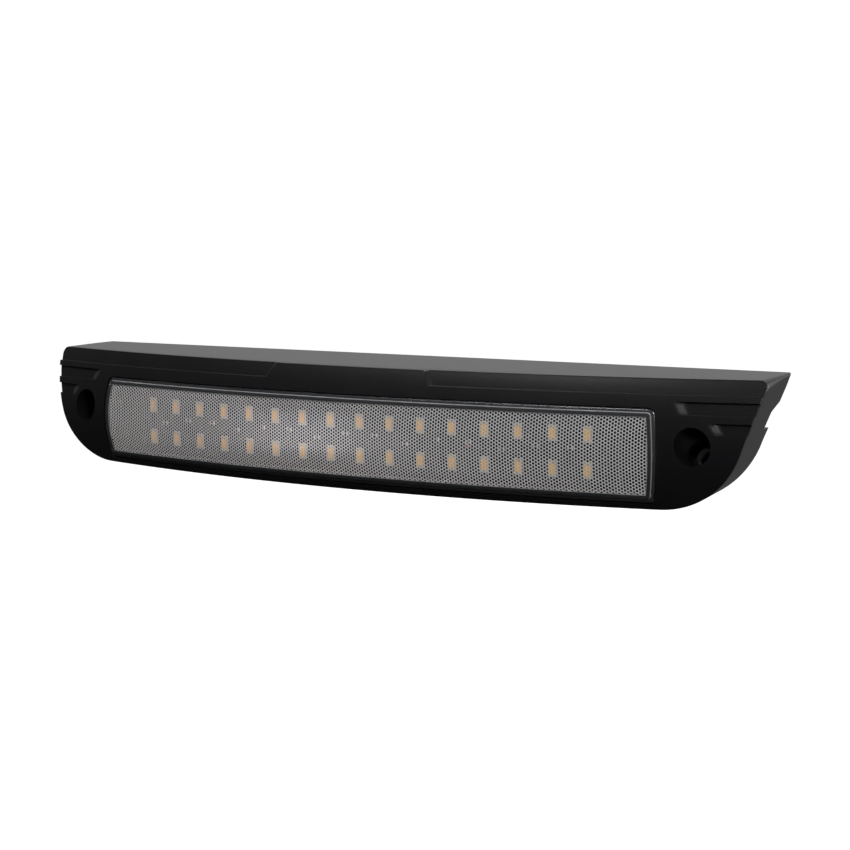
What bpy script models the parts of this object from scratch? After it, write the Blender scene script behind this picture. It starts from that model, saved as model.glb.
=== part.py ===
"""Surface-mounted third brake light: a moulded housing, a curved clear lens and two rows of diodes.

Metres, +Z up, +X to the right as seen from the front, +Y towards the vehicle.
The origin is the middle of the rear mounting face, which leans by MOUNT_TILT.
"""

import math

import bmesh
import bpy
import numpy as np
from mathutils import Vector

MM = 0.001
GAP = 0.3 * MM  # between any two pieces that touch on the real lamp

# Overall lamp
LAMP_LENGTH = 306.8 * MM  # along the top edge of the face, before its corners are rounded
LAMP_HEIGHT = 43.2 * MM
LOWER_DEPTH = 33.4 * MM  # from the mounting face's lower edge to the foremost line of the face
MOUNT_TILT = math.radians(24.0)  # lean of the mounting face from upright

# Curves of the face
BOW_RADIUS = 664.0 * MM  # end to end
CROWN_RADIUS = 48.5 * MM  # top to bottom
END_SWEEP = 0.9 * MM  # extra fall-back at the ends
SIDE_LEAN = math.radians(18.5)
TOP_CORNER_RADIUS = 2.6 * MM
BOTTOM_CORNER_RADIUS = 28.0 * MM
SIDE_DRAFT = 0.10
BOTTOM_DRAFT = 0.04

# Housing walls and trim
WALL = 2.5 * MM
FRONT_WALL = 5.8 * MM
SKIRT_SETBACK = 0.5 * MM  # rear edge of the walls, in front of the mounting face
BROW_STEP = 1.2 * MM
BROW_BAND = 5.2 * MM
PANEL_HALF = 31.5 * MM
PANEL_RAMP = 3.4 * MM
GROOVE_STEP = 0.9 * MM
RAMP_LENGTH = 1.2 * MM  # run of the slanted ramp where a band or a groove begins
GROOVE_RAMP = 2.4 * MM
GROOVES = ((7.4 * MM, 4.1 * MM, 29.4 * MM), (14.1 * MM, 3.7 * MM, 17.6 * MM))  # drop, width, length
NOTCH_DEPTH = 5.4 * MM
NOTCH_BELOW_TOP = 10.0 * MM
NOTCH_HEIGHT = 8.0 * MM

# Lens and its rebate
LENS_TO_SCREW = 11.8 * MM  # lens end to screw centre
BROW_HEIGHT = 9.8 * MM  # lens to the top of the face
SILL_HEIGHT = 1.75 * MM  # lens to the bottom of the face
LENS_THICKNESS = 2.0 * MM
LENS_CORNER_RADIUS = 2.6 * MM
LENS_END_BULGE = 1.2 * MM
LENS_LEDGE = 2.6 * MM
SEAL_THICKNESS = 1.0 * MM

# Mounting screws
SCREW_FROM_END = 22.8 * MM
SCREW_DROP = 21.6 * MM  # below the top of the face
COUNTERBORE_RADIUS = 6.0 * MM
COUNTERBORE_DEPTH = 15.0 * MM
NECK_RADIUS = 4.2 * MM
THROUGH_RADIUS = 3.1 * MM
SEAT_THICKNESS = 6.0 * MM
SLEEVE_WALL = 1.8 * MM

# Diodes, board and carrier
LED_COUNT = 16
LED_END_MARGIN = 25.0 * MM  # lens end to first diode
LED_ROW_SPACING = 12.25 * MM
LED_SIZE = (3.0 * MM, 0.9 * MM, 5.6 * MM)
LED_DISH = (2.3 * MM, 4.6 * MM)
LED_DISH_CORNER = 0.5 * MM
LED_DISH_DEPTH = 0.3 * MM
LED_BEHIND_LENS = 2.2 * MM
SOLDER_GAP = 0.1 * MM
BOARD_THICKNESS = 1.0 * MM
BOARD_HEIGHT = 22.0 * MM
BOARD_END_MARGIN = 14.0 * MM
PAD_THICKNESS = 0.5 * MM
CARRIER_THICKNESS = 1.5 * MM
FLANGE_CLEARANCE = 1.0 * MM  # from the front wall to the carrier's flanges
CARRIER_UPPER_FLANGE = 8.0 * MM
CARRIER_LOWER_FLANGE = 1.5 * MM

# Rear cover, gasket and fixings
COVER_THICKNESS = 2.0 * MM
COVER_RECESS = 3.6 * MM
GASKET_INSET = 1.8 * MM
POST_RADIUS = 3.2 * MM
POST_LENGTH = 7.4 * MM
HEAD_TO_WALL = 1.8 * MM
PILOT_FLOOR = 1.2 * MM
COVER_SCREW_TO_MOUNT = 38.6 * MM  # outer cover screws to the mounting screws
SHANK_RADIUS = 1.25 * MM
HEAD_RADIUS = 2.7 * MM
HEAD_HEIGHT = 1.9 * MM
SHANK_LENGTH = 5.6 * MM
CARRIER_SCREW_FROM_END = 20.8 * MM  # outer carrier screws to the lens ends
CARRIER_SCREW_RATIO = 0.36  # inner carrier screws, as a share of the outer ones' distance

# Electrical inlet and vent
SOCKET_X = 52.0 * MM
SOCKET_OUTER = (15.0 * MM, 9.6 * MM)
SOCKET_WALL = 1.3 * MM
SOCKET_DEPTH = 12.0 * MM
SOCKET_FLANGE = 2.0 * MM
FLANGE_THICKNESS = 1.2 * MM
PIN_SPACING = 5.0 * MM
PIN_SIZE = (1.5 * MM, 0.7 * MM)
PIN_LENGTH = 9.5 * MM
LEAD_RADIUS = 0.7 * MM
VENT_X = -52.0 * MM
VENT_RADIUS = 3.4 * MM
VENT_CAP_RADIUS = 4.8 * MM
VENT_CAP_HEIGHT = 1.6 * MM

# Derived places
FACE_DEPTH = LOWER_DEPTH + math.tan(MOUNT_TILT) * LAMP_HEIGHT / 2
TOP_Z = LAMP_HEIGHT / 2
BOTTOM_Z = -LAMP_HEIGHT / 2
TOP_HALF = LAMP_LENGTH / 2
SCREW_X = TOP_HALF - SCREW_FROM_END
LENS_HALF = SCREW_X - LENS_TO_SCREW
LENS_TOP = TOP_Z - BROW_HEIGHT
LENS_BOTTOM = BOTTOM_Z + SILL_HEIGHT
LENS_MIDDLE = (LENS_TOP + LENS_BOTTOM) / 2
REBATE_DEPTH = LENS_THICKNESS + GAP + SEAL_THICKNESS + GAP
LED_PITCH = 2 * (LENS_HALF - LED_END_MARGIN) / (LED_COUNT - 1)
LED_BACK = LENS_THICKNESS + LED_BEHIND_LENS + LED_SIZE[1]
BOARD_FRONT = LED_BACK + SOLDER_GAP
PAD_FRONT = BOARD_FRONT + BOARD_THICKNESS + SOLDER_GAP
CARRIER_FRONT = PAD_FRONT + PAD_THICKNESS + SOLDER_GAP
FLANGE_TOP = LENS_TOP - LENS_LEDGE - GAP + CARRIER_UPPER_FLANGE
FLANGE_FRONT = (FLANGE_TOP - LENS_MIDDLE) ** 2 / (2 * CROWN_RADIUS) + FRONT_WALL + FLANGE_CLEARANCE
COVER_SCREW_SPREAD = (0.0, SCREW_X - COVER_SCREW_TO_MOUNT)
CARRIER_SCREW_OUTER = LENS_HALF - CARRIER_SCREW_FROM_END
CARRIER_SCREW_SPREAD = (CARRIER_SCREW_RATIO * CARRIER_SCREW_OUTER, CARRIER_SCREW_OUTER)
COVER_FRONT = -COVER_RECESS - COVER_THICKNESS
MOUNT_NORMAL = Vector((0.0, math.cos(MOUNT_TILT), -math.sin(MOUNT_TILT)))
FAR = 60.0 * MM


def clear_scene():
    for item in list(bpy.data.objects):
        bpy.data.objects.remove(item, do_unlink=True)


def make_material(name, colour, roughness, metallic=0.0, transmission=0.0):
    material = bpy.data.materials.new(name)
    material.use_nodes = True
    shader = material.node_tree.nodes["Principled BSDF"]
    shader.inputs["Base Color"].default_value = (*colour, 1.0)
    shader.inputs["Roughness"].default_value = roughness
    shader.inputs["Metallic"].default_value = metallic
    shader.inputs["Transmission Weight"].default_value = transmission
    return material


def make_object(name, points, faces):
    """A mesh object with its faces turned outwards."""
    mesh = bpy.data.meshes.new(name)
    mesh.from_pydata([tuple(point) for point in points], [], faces)
    shell = bmesh.new()
    shell.from_mesh(mesh)
    bmesh.ops.recalc_face_normals(shell, faces=shell.faces)
    shell.to_mesh(mesh)
    shell.free()
    item = bpy.data.objects.new(name, mesh)
    bpy.context.collection.objects.link(item)
    return item


def finish(item, material):
    """Gives a finished piece its material and smooth shading with sharp edges kept."""
    item.data.materials.clear()
    item.data.materials.append(material)
    item.data.shade_smooth()
    item.data.set_sharp_from_angle(angle=math.radians(30.0))
    return item


def combine(target, tool, operation):
    """Applies one exact Boolean and removes the tool."""
    modifier = target.modifiers.new("Cut", "BOOLEAN")
    modifier.solver = "EXACT"
    modifier.operation = operation
    modifier.object = tool
    graph = bpy.context.evaluated_depsgraph_get()
    mesh = bpy.data.meshes.new_from_object(target.evaluated_get(graph))
    target.modifiers.clear()
    target.data = mesh
    bpy.data.objects.remove(tool, do_unlink=True)
    return target


def face_y(x, z):
    """The face: a bow along X, a crown about the lens's middle line and a sweep at the ends."""
    bow = x * x / (2 * BOW_RADIUS)
    crown = (z - LENS_MIDDLE) ** 2 / (2 * CROWN_RADIUS)
    sweep = END_SWEEP * (x / TOP_HALF) ** 6
    return -FACE_DEPTH + bow + crown + sweep


def bowed_y(x, depth):
    """A surface that only bows along X, a given depth behind the face's foremost line."""
    return -FACE_DEPTH + x * x / (2 * BOW_RADIUS) + depth


def tilted_y(z, offset):
    """The mounting plane, moved along its own normal by an offset."""
    return z * math.tan(MOUNT_TILT) + offset / math.cos(MOUNT_TILT)


def slab(name, x, z, front, back):
    """Closed solid between two surfaces over a grid of X and Z, which may be skewed."""
    rows, columns = x.shape
    count = rows * columns
    points = np.concatenate([
        np.stack([x, front, z], axis=-1).reshape(-1, 3),
        np.stack([x, back, z], axis=-1).reshape(-1, 3),
    ])
    faces = []
    for row in range(rows - 1):
        for column in range(columns - 1):
            a = row * columns + column
            b, c, d = a + 1, a + columns + 1, a + columns
            faces.append((a, b, c, d))
            faces.append((count + d, count + c, count + b, count + a))
    rim = [column for column in range(columns)]
    rim += [row * columns + columns - 1 for row in range(1, rows)]
    rim += [(rows - 1) * columns + column for column in range(columns - 2, -1, -1)]
    rim += [row * columns for row in range(rows - 2, 0, -1)]
    for index, start in enumerate(rim):
        end = rim[(index + 1) % len(rim)]
        faces.append((end, start, start + count, end + count))
    return make_object(name, points, faces)


def wide_grid(half, low, high, columns=25, rows=10):
    """A straight grid of X and Z."""
    return np.meshgrid(np.linspace(-half, half, columns), np.linspace(low, high, rows))


def lamp_outline(side_inset, bottom_inset, top_inset=0.0):
    """Outline of the lamp in X and Z: flat top, leaning sides and large lower corners."""
    top = TOP_Z - top_inset
    bottom = BOTTOM_Z + bottom_inset
    lean, cosine = math.tan(SIDE_LEAN), math.cos(SIDE_LEAN)
    half = []
    for radius, height, start, end, steps in (
        (max(TOP_CORNER_RADIUS - side_inset, 0.8 * MM), top, 90.0, -math.degrees(SIDE_LEAN), 4),
        (BOTTOM_CORNER_RADIUS - side_inset, bottom, -math.degrees(SIDE_LEAN), -90.0, 12),
    ):
        centre_z = height - radius if start > 0 else height + radius
        side = TOP_HALF - (TOP_Z - centre_z) * lean - side_inset / cosine
        centre_x = side - radius / cosine
        for step in range(steps + 1):
            angle = math.radians(start + (end - start) * step / steps)
            half.append((centre_x + radius * math.cos(angle), centre_z + radius * math.sin(angle)))
    return half + [(-x, z) for x, z in reversed(half)]


def lens_outline(inset):
    """Outline of the lens in X and Z: rounded corners and ends that bulge a little."""
    radius = max(LENS_CORNER_RADIUS - inset, 0.5 * MM)
    top, bottom = LENS_TOP - inset, LENS_BOTTOM + inset
    corner_x = LENS_HALF - LENS_END_BULGE - inset - radius
    points = []
    for step in range(5):
        angle = math.pi / 2 * (1 - step / 4)
        points.append((corner_x + radius * math.cos(angle), top - radius + radius * math.sin(angle)))
    low, high = bottom + radius, top - radius
    for step in range(1, 6):
        share = step / 6
        bulge = LENS_END_BULGE * 4 * share * (1 - share)
        points.append((corner_x + radius + bulge, high + (low - high) * share))
    for step in range(5):
        angle = -math.pi / 2 * step / 4
        points.append((corner_x + radius * math.cos(angle), low + radius * math.sin(angle)))
    return points + [(-x, z) for x, z in reversed(points)]


def prism(name, front_outline, rear_outline, front, rear):
    """Closed solid between two outlines with the same number of points."""
    count = len(front_outline)
    points = [(x, front, z) for x, z in front_outline] + [(x, rear, z) for x, z in rear_outline]
    faces = [tuple(range(count)), tuple(range(2 * count - 1, count - 1, -1))]
    for index in range(count):
        after = (index + 1) % count
        faces.append((index, index + count, after + count, after))
    return make_object(name, points, faces)


def body_prism(name, inset):
    """The lamp's outline with its draft, moved in by an inset, along the whole depth."""
    front, rear = -FACE_DEPTH - 5 * MM, 20.0 * MM
    start = face_y(TOP_HALF, TOP_Z)
    rings = []
    for y in (front, rear):
        side = SIDE_DRAFT * (y - start) + inset
        rings.append(lamp_outline(side, BOTTOM_DRAFT * (y - start) + inset, inset))
    return prism(name, rings[0], rings[1], front, rear)


def body_layer(name, inset, front_offset, rear_offset):
    """A plate across the lamp's outline, parallel to the mounting face."""
    x, z = wide_grid(TOP_HALF + FAR, -FAR, FAR, 2, 2)
    layer = slab(name, x, z, tilted_y(z, front_offset), tilted_y(z, rear_offset))
    return combine(layer, body_prism("Outline", inset), "INTERSECT")


def rod(name, radius, start, axis, length, segments=24):
    """A round bar from a start point along an axis."""
    turn = Vector(axis).to_track_quat("Z", "Y").to_matrix()
    points = []
    for height in (0.0, length):
        for step in range(segments):
            angle = 2 * math.pi * step / segments
            local = Vector((radius * math.cos(angle), radius * math.sin(angle), height))
            points.append(Vector(start) + turn @ local)
    faces = [tuple(range(segments)), tuple(range(2 * segments - 1, segments - 1, -1))]
    for step in range(segments):
        after = (step + 1) % segments
        faces.append((step, step + segments, after + segments, after))
    return make_object(name, points, faces)


def on_mount(x, up, offset):
    """A point by its place on the mounting face and its offset along the normal."""
    rise = Vector((0.0, math.sin(MOUNT_TILT), math.cos(MOUNT_TILT)))
    return Vector((x, 0.0, 0.0)) + rise * up + MOUNT_NORMAL * offset


def mount_box(name, x, up, size, front_offset, rear_offset):
    """A box square to the mounting face."""
    half_x, half_up = size[0] / 2, size[1] / 2
    corners = ((-half_x, -half_up), (half_x, -half_up), (half_x, half_up), (-half_x, half_up))
    points = [on_mount(x + a, up + b, front_offset) for a, b in corners]
    points += [on_mount(x + a, up + b, rear_offset) for a, b in corners]
    faces = [(0, 1, 2, 3), (7, 6, 5, 4)]
    faces += [(i, i + 4, (i + 1) % 4 + 4, (i + 1) % 4) for i in range(4)]
    return make_object(name, points, faces)


def screw_start(side):
    """Where a mounting screw's axis meets the face."""
    x, z = side * SCREW_X, TOP_Z - SCREW_DROP
    return Vector((x, float(face_y(x, z)), z))


def screw_run(side):
    """Distance along the screw axis from the face to the mounting face."""
    return -screw_start(side).dot(MOUNT_NORMAL)


def cover_screw_places():
    """Places of the cover screws on the mounting face: a row near each long wall."""
    inset = WALL + HEAD_RADIUS + HEAD_TO_WALL
    rise = COVER_FRONT * math.sin(MOUNT_TILT)
    upper = (TOP_Z - inset + rise) / math.cos(MOUNT_TILT)
    draft = BOTTOM_DRAFT * -float(face_y(TOP_HALF, TOP_Z))
    lower = (BOTTOM_Z + inset + draft + rise) / math.cos(MOUNT_TILT)
    places = []
    for up in (upper, lower):
        for spread in COVER_SCREW_SPREAD:
            for side in (-1, 1) if spread else (1,):
                places.append((side * spread, up))
    return places


def carrier_screw_places():
    """Places of the carrier screws: along its upper flange."""
    z = carrier_edges()[1] + CARRIER_UPPER_FLANGE / 2
    return [(side * spread, z) for spread in CARRIER_SCREW_SPREAD for side in (-1, 1)]


def carrier_edges():
    """Lower and upper edge of the carrier's flat, just inside the window."""
    inset = LENS_LEDGE + GAP
    return LENS_BOTTOM + inset, LENS_TOP - inset


def add_sleeves(shell):
    """Screw sleeves that run from the face to the skirt's edge, kept inside the outline."""
    for side in (-1, 1):
        start, run = screw_start(side), screw_run(side)
        wide = COUNTERBORE_RADIUS + SLEEVE_WALL
        narrow = NECK_RADIUS + SLEEVE_WALL
        front = start - MOUNT_NORMAL * (2 * wide)
        shoulder = COUNTERBORE_DEPTH + SLEEVE_WALL
        sleeve = rod("Sleeve", wide, front, MOUNT_NORMAL, 2 * wide + shoulder, 32)
        tail_start = start + MOUNT_NORMAL * (shoulder - 1 * MM)
        tail = rod("Tail", narrow, tail_start, MOUNT_NORMAL, run - shoulder - SKIRT_SETBACK + 1 * MM, 32)
        combine(sleeve, tail, "UNION")
        combine(sleeve, outer_body("Outer"), "INTERSECT")
        combine(shell, sleeve, "UNION")


def bore_sleeves(shell):
    """Counterbore, neck and through hole of each mounting screw."""
    for side in (-1, 1):
        start, run = screw_start(side), screw_run(side)
        ahead = 10 * MM
        steps = (
            (COUNTERBORE_RADIUS, COUNTERBORE_DEPTH),
            (NECK_RADIUS, run - SEAT_THICKNESS),
            (THROUGH_RADIUS, run + ahead),
        )
        for radius, depth in steps:
            tool = rod("Bore", radius, start - MOUNT_NORMAL * ahead, MOUNT_NORMAL, depth + ahead, 32)
            combine(shell, tool, "DIFFERENCE")


def add_posts(shell):
    """Posts that take the cover screws, grown from the long walls."""
    top = COVER_FRONT - GAP
    for x, up in cover_screw_places():
        post = rod("Post", POST_RADIUS, on_mount(x, up, top - POST_LENGTH), MOUNT_NORMAL, POST_LENGTH, 16)
        outward = math.copysign(POST_LENGTH / 2, up)
        half_sizes = (POST_RADIUS, POST_LENGTH)
        web = mount_box("Web", x, up + outward, half_sizes, top - POST_LENGTH + GAP, top - GAP)
        combine(post, web, "UNION")
        combine(post, body_prism("Limit", WALL / 2), "INTERSECT")
        combine(shell, post, "UNION")
        start = on_mount(x, up, top - POST_LENGTH + PILOT_FLOOR)
        pilot = rod("Pilot", SHANK_RADIUS + GAP, start, MOUNT_NORMAL, POST_LENGTH, 12)
        combine(shell, pilot, "DIFFERENCE")


def add_carrier_posts(shell):
    """Short posts behind the front wall that take the carrier screws."""
    for x, z in carrier_screw_places():
        seat = float(bowed_y(abs(x) - POST_RADIUS, FLANGE_FRONT)) - GAP
        start = float(face_y(x, z)) + FRONT_WALL / 2
        post = rod("Post", POST_RADIUS, (x, start, z), (0, 1, 0), seat - start, 16)
        combine(shell, post, "UNION")
        pilot_start = float(face_y(x, z)) + BROW_STEP + 1.3 * MM
        pilot = rod("Pilot", SHANK_RADIUS + GAP, (x, pilot_start, z), (0, 1, 0), FAR, 12)
        combine(shell, pilot, "DIFFERENCE")


def outer_body(name):
    """The housing's outside as one solid."""
    x, z = wide_grid(TOP_HALF + 10 * MM, BOTTOM_Z - 4 * MM, TOP_Z + 4 * MM)
    volume = slab(name, x, z, face_y(x, z), tilted_y(z, -SKIRT_SETBACK))
    return combine(volume, body_prism("Outline", 0.0), "INTERSECT")


def hollow(shell):
    """The space behind the front wall."""
    x, z = wide_grid(TOP_HALF + 10 * MM, BOTTOM_Z - 4 * MM, TOP_Z + 4 * MM)
    space = slab("Space", x, z, face_y(x, z) + FRONT_WALL, tilted_y(z, FAR / 4))
    combine(space, body_prism("Inside", WALL), "INTERSECT")
    return combine(shell, space, "DIFFERENCE")


def sink_band(shell, z, inner, outer, step):
    """Sinks a band of the face on both sides, outwards from an inner line that has a short ramp."""
    first = inner + RAMP_LENGTH
    x = np.concatenate([inner, first + (outer - first) * np.linspace(0, 1, 9)], axis=1)
    z = np.broadcast_to(z, x.shape)
    depth = np.full(x.shape[1], step)
    depth[0] = 0.1 * step
    for side in (-1, 1):
        band = slab("Band", side * x, z, np.full_like(x, -FACE_DEPTH - FAR), face_y(x, z) + depth)
        combine(shell, band, "DIFFERENCE")


def cut_brow(shell):
    """The two shallow bands along the top, each ending in a slanted ramp at the centre panel."""
    above = 4 * MM
    z = TOP_Z - BROW_BAND + np.linspace(0, 1, 3)[:, None] * (BROW_BAND + above)
    inner = PANEL_HALF + PANEL_RAMP * (TOP_Z - z) / BROW_BAND
    sink_band(shell, z, inner, TOP_HALF + 10 * MM, BROW_STEP)


def cut_grooves(shell):
    """The stepped wing grooves, open at the end wall."""
    down = np.linspace(0, 1, 3)[:, None]
    for drop, width, length in GROOVES:
        z = TOP_Z - drop - width * down
        edge = TOP_HALF - (TOP_Z - z) * math.tan(SIDE_LEAN)
        sink_band(shell, z, TOP_HALF - length + GROOVE_RAMP * down, edge + 6 * MM, GROOVE_STEP)


def cut_notches(shell):
    """The step cut in the rear edge of each end wall, with a curved upper end."""
    top = TOP_Z - NOTCH_BELOW_TOP
    bottom = top - NOTCH_HEIGHT
    ease = np.linspace(0, 1, 7)
    rise = 3 * ease**2 - 2 * ease**3
    curve_z = top - 3.0 * MM + ease * 5.0 * MM
    floor = -NOTCH_DEPTH - SKIRT_SETBACK
    curve = [(z, tilted_y(z, floor * (1 - r) + 1 * MM * r)) for z, r in zip(curve_z, rise)]
    profile = [(bottom, tilted_y(bottom, floor))] + curve
    profile += [(curve_z[-1], FAR), (bottom, FAR)]
    inner = TOP_HALF - SCREW_FROM_END / 2 - 4 * MM
    for side in (-1, 1):
        count = len(profile)
        points = [(side * inner, y, z) for z, y in profile]
        points += [(side * (TOP_HALF + FAR), y, z) for z, y in profile]
        faces = [tuple(range(count)), tuple(range(2 * count - 1, count - 1, -1))]
        faces += [(i, i + count, (i + 1) % count + count, (i + 1) % count) for i in range(count)]
        combine(shell, make_object("Notch", points, faces), "DIFFERENCE")


def cut_lens_seat(shell):
    """Rebate for the lens and the window through its ledge."""
    outline = lens_outline(-GAP)
    rebate = prism("Rebate", outline, outline, -FACE_DEPTH - FAR, 0.0)
    x, z = wide_grid(LENS_HALF + 6 * MM, LENS_BOTTOM - 1 * MM, LENS_TOP + 4 * MM)
    depth = slab("Depth", x, z, np.full_like(x, -FACE_DEPTH - FAR), face_y(x, z) + REBATE_DEPTH)
    combine(rebate, depth, "INTERSECT")
    combine(shell, rebate, "DIFFERENCE")
    opening = lens_outline(LENS_LEDGE)
    reach = float(face_y(LENS_HALF, LENS_TOP)) + FRONT_WALL + 1 * MM
    combine(shell, prism("Window", opening, opening, -FACE_DEPTH - FAR, reach), "DIFFERENCE")


def build_housing(material):
    shell = outer_body("housing")
    cut_brow(shell)
    cut_grooves(shell)
    hollow(shell)
    add_carrier_posts(shell)
    add_posts(shell)
    cut_lens_seat(shell)
    add_sleeves(shell)
    cut_notches(shell)
    bore_sleeves(shell)
    return finish(shell, material)


def curved_plate(name, outline, front_depth, rear_depth):
    """A plate cut to an outline, whose two faces follow the lamp's face."""
    x, z = wide_grid(LENS_HALF + 6 * MM, LENS_BOTTOM - 3 * MM, LENS_TOP + 3 * MM, 25, 7)
    plate = slab(name, x, z, face_y(x, z) + front_depth, face_y(x, z) + rear_depth)
    return combine(plate, prism("Outline", outline, outline, -FACE_DEPTH - FAR, FAR), "INTERSECT")


def build_lens(material):
    return finish(curved_plate("lens", lens_outline(0.0), 0.0, LENS_THICKNESS), material)


def build_lens_seal(material):
    """A flat ring under the lens rim."""
    front = LENS_THICKNESS + GAP
    ring = curved_plate("lens_seal", lens_outline(GAP), front, front + SEAL_THICKNESS)
    opening = lens_outline(LENS_LEDGE - GAP)
    combine(ring, prism("Opening", opening, opening, -FACE_DEPTH - FAR, FAR), "DIFFERENCE")
    return finish(ring, material)


def bowed_sheet(name, half, low, high, front_depth, rear_depth):
    """A rectangular sheet bent to the lamp's bow."""
    x, z = wide_grid(half, low, high, 21, 2)
    return slab(name, x, z, bowed_y(x, front_depth), bowed_y(x, rear_depth))


def board_edges():
    return LENS_MIDDLE - BOARD_HEIGHT / 2, LENS_MIDDLE + BOARD_HEIGHT / 2


def build_board(board_material, pad_material):
    half = LENS_HALF - BOARD_END_MARGIN
    low, high = board_edges()
    board = bowed_sheet("led_board", half, low, high, BOARD_FRONT, BOARD_FRONT + BOARD_THICKNESS)
    pad = bowed_sheet(
        "thermal_pad", half - 2 * MM, low + 1 * MM, high - 1 * MM, PAD_FRONT, PAD_FRONT + PAD_THICKNESS
    )
    for x in lead_columns():
        combine(board, lead_hole(x), "DIFFERENCE")
        combine(pad, lead_hole(x), "DIFFERENCE")
    finish(board, board_material)
    finish(pad, pad_material)


def build_leds(material):
    """One package with an oblong phosphor window, shared by every diode of both rows."""
    width, depth, height = LED_SIZE
    points = [(sx * width / 2, sy * depth / 2, sz * height / 2)
              for sy in (-1, 1) for sz in (-1, 1) for sx in (-1, 1)]
    faces = [(0, 1, 3, 2), (4, 6, 7, 5), (0, 4, 5, 1), (2, 3, 7, 6), (0, 2, 6, 4), (1, 5, 7, 3)]
    pattern = make_object("Package", points, faces)
    half_x, half_z, cut = LED_DISH[0] / 2, LED_DISH[1] / 2, LED_DISH_CORNER
    outline = [(half_x - cut, half_z), (half_x, half_z - cut)]
    outline += [(half_x, cut - half_z), (half_x - cut, -half_z)]
    outline += [(-x, -z) for x, z in outline]
    combine(pattern, prism("Dish", outline, outline, -depth, LED_DISH_DEPTH - depth / 2), "DIFFERENCE")
    finish(pattern, material)
    for row, shift in (("upper", 1), ("lower", -1)):
        for index in range(LED_COUNT):
            x = (index - (LED_COUNT - 1) / 2) * LED_PITCH
            led = bpy.data.objects.new(f"led_{row}_{index + 1:02d}", pattern.data)
            y = float(bowed_y(x, LED_BACK)) - depth / 2
            led.location = (x, y, LENS_MIDDLE + shift * LED_ROW_SPACING / 2)
            led.rotation_euler = (0.0, 0.0, math.atan(x / BOW_RADIUS))
            bpy.context.collection.objects.link(led)
    bpy.data.objects.remove(pattern, do_unlink=True)


def build_carrier(material):
    """A bent top-hat section: its flat holds the board, its flanges reach back past the front wall."""
    low, high = carrier_edges()
    near, far, thick = CARRIER_FRONT, FLANGE_FRONT, CARRIER_THICKNESS
    lower, upper = low - CARRIER_LOWER_FLANGE, high + CARRIER_UPPER_FLANGE
    profile = (
        (lower, far), (low, far), (low, near), (high, near), (high, far), (upper, far),
        (upper, far + thick), (high - thick, far + thick), (high - thick, near + thick),
        (low + thick, near + thick), (low + thick, far + thick), (lower, far + thick),
    )
    half = LENS_HALF - LENS_LEDGE - LENS_END_BULGE - 1 * MM
    stations = np.linspace(-half, half, 17)
    count = len(profile)
    points = [(x, float(bowed_y(x, depth)), z) for x in stations for z, depth in profile]
    faces = [tuple(range(count))]
    faces.append(tuple(range(len(points) - 1, len(points) - count - 1, -1)))
    for station in range(len(stations) - 1):
        base = station * count
        for index in range(count):
            after = (index + 1) % count
            faces.append((base + index, base + count + index, base + count + after, base + after))
    carrier = make_object("led_carrier", points, faces)
    for x, z in carrier_screw_places():
        start = (x, -FACE_DEPTH, z)
        combine(carrier, rod("Hole", SHANK_RADIUS + GAP, start, (0, 1, 0), FAR, 12), "DIFFERENCE")
    for x in lead_columns():
        combine(carrier, lead_hole(x), "DIFFERENCE")
    return finish(carrier, material)


def screw(name, head, axis, material):
    """A pan-head screw: its head's seat at a point, its shank running against the axis."""
    start = Vector(head) - Vector(axis) * SHANK_LENGTH
    item = rod(name, SHANK_RADIUS, start, axis, SHANK_LENGTH + HEAD_HEIGHT / 2, 12)
    combine(item, rod("Head", HEAD_RADIUS, head, axis, HEAD_HEIGHT, 20), "UNION")
    slot_start = Vector(head) + Vector(axis) * HEAD_HEIGHT * 0.45
    combine(item, rod("Socket", SHANK_RADIUS * 0.8, slot_start, axis, HEAD_HEIGHT, 6), "DIFFERENCE")
    return finish(item, material)


def build_screws(material):
    for index, (x, up) in enumerate(cover_screw_places()):
        screw(f"cover_screw_{index + 1}", on_mount(x, up, -COVER_RECESS + GAP), MOUNT_NORMAL, material)
    for index, (x, z) in enumerate(carrier_screw_places()):
        seat = float(bowed_y(abs(x) + HEAD_RADIUS, FLANGE_FRONT + CARRIER_THICKNESS)) + GAP
        screw(f"carrier_screw_{index + 1}", (x, seat, z), Vector((0, 1, 0)), material)


def build_cover(material):
    cover = body_layer("rear_cover", WALL + GAP, COVER_FRONT, -COVER_RECESS)
    for side in (-1, 1):
        for radius, depth in (
            (COUNTERBORE_RADIUS, COUNTERBORE_DEPTH + SLEEVE_WALL),
            (NECK_RADIUS, screw_run(side)),
        ):
            reach = radius + SLEEVE_WALL + GAP
            tool = rod("Clearance", reach, screw_start(side), MOUNT_NORMAL, depth + GAP, 32)
            combine(cover, tool, "DIFFERENCE")
    for x, up in cover_screw_places():
        start = on_mount(x, up, COVER_FRONT - 1 * MM)
        combine(cover, rod("Hole", SHANK_RADIUS + GAP, start, MOUNT_NORMAL, 5 * MM, 12), "DIFFERENCE")
    opening = (SOCKET_OUTER[0] + 2 * GAP, SOCKET_OUTER[1] + 2 * GAP)
    combine(cover, mount_box("Opening", SOCKET_X, 0.0, opening, COVER_FRONT - 1 * MM, 0.0), "DIFFERENCE")
    start = on_mount(VENT_X, 0.0, COVER_FRONT - 1 * MM)
    combine(cover, rod("Hole", VENT_RADIUS + GAP, start, MOUNT_NORMAL, 5 * MM, 20), "DIFFERENCE")
    return finish(cover, material)


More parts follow.
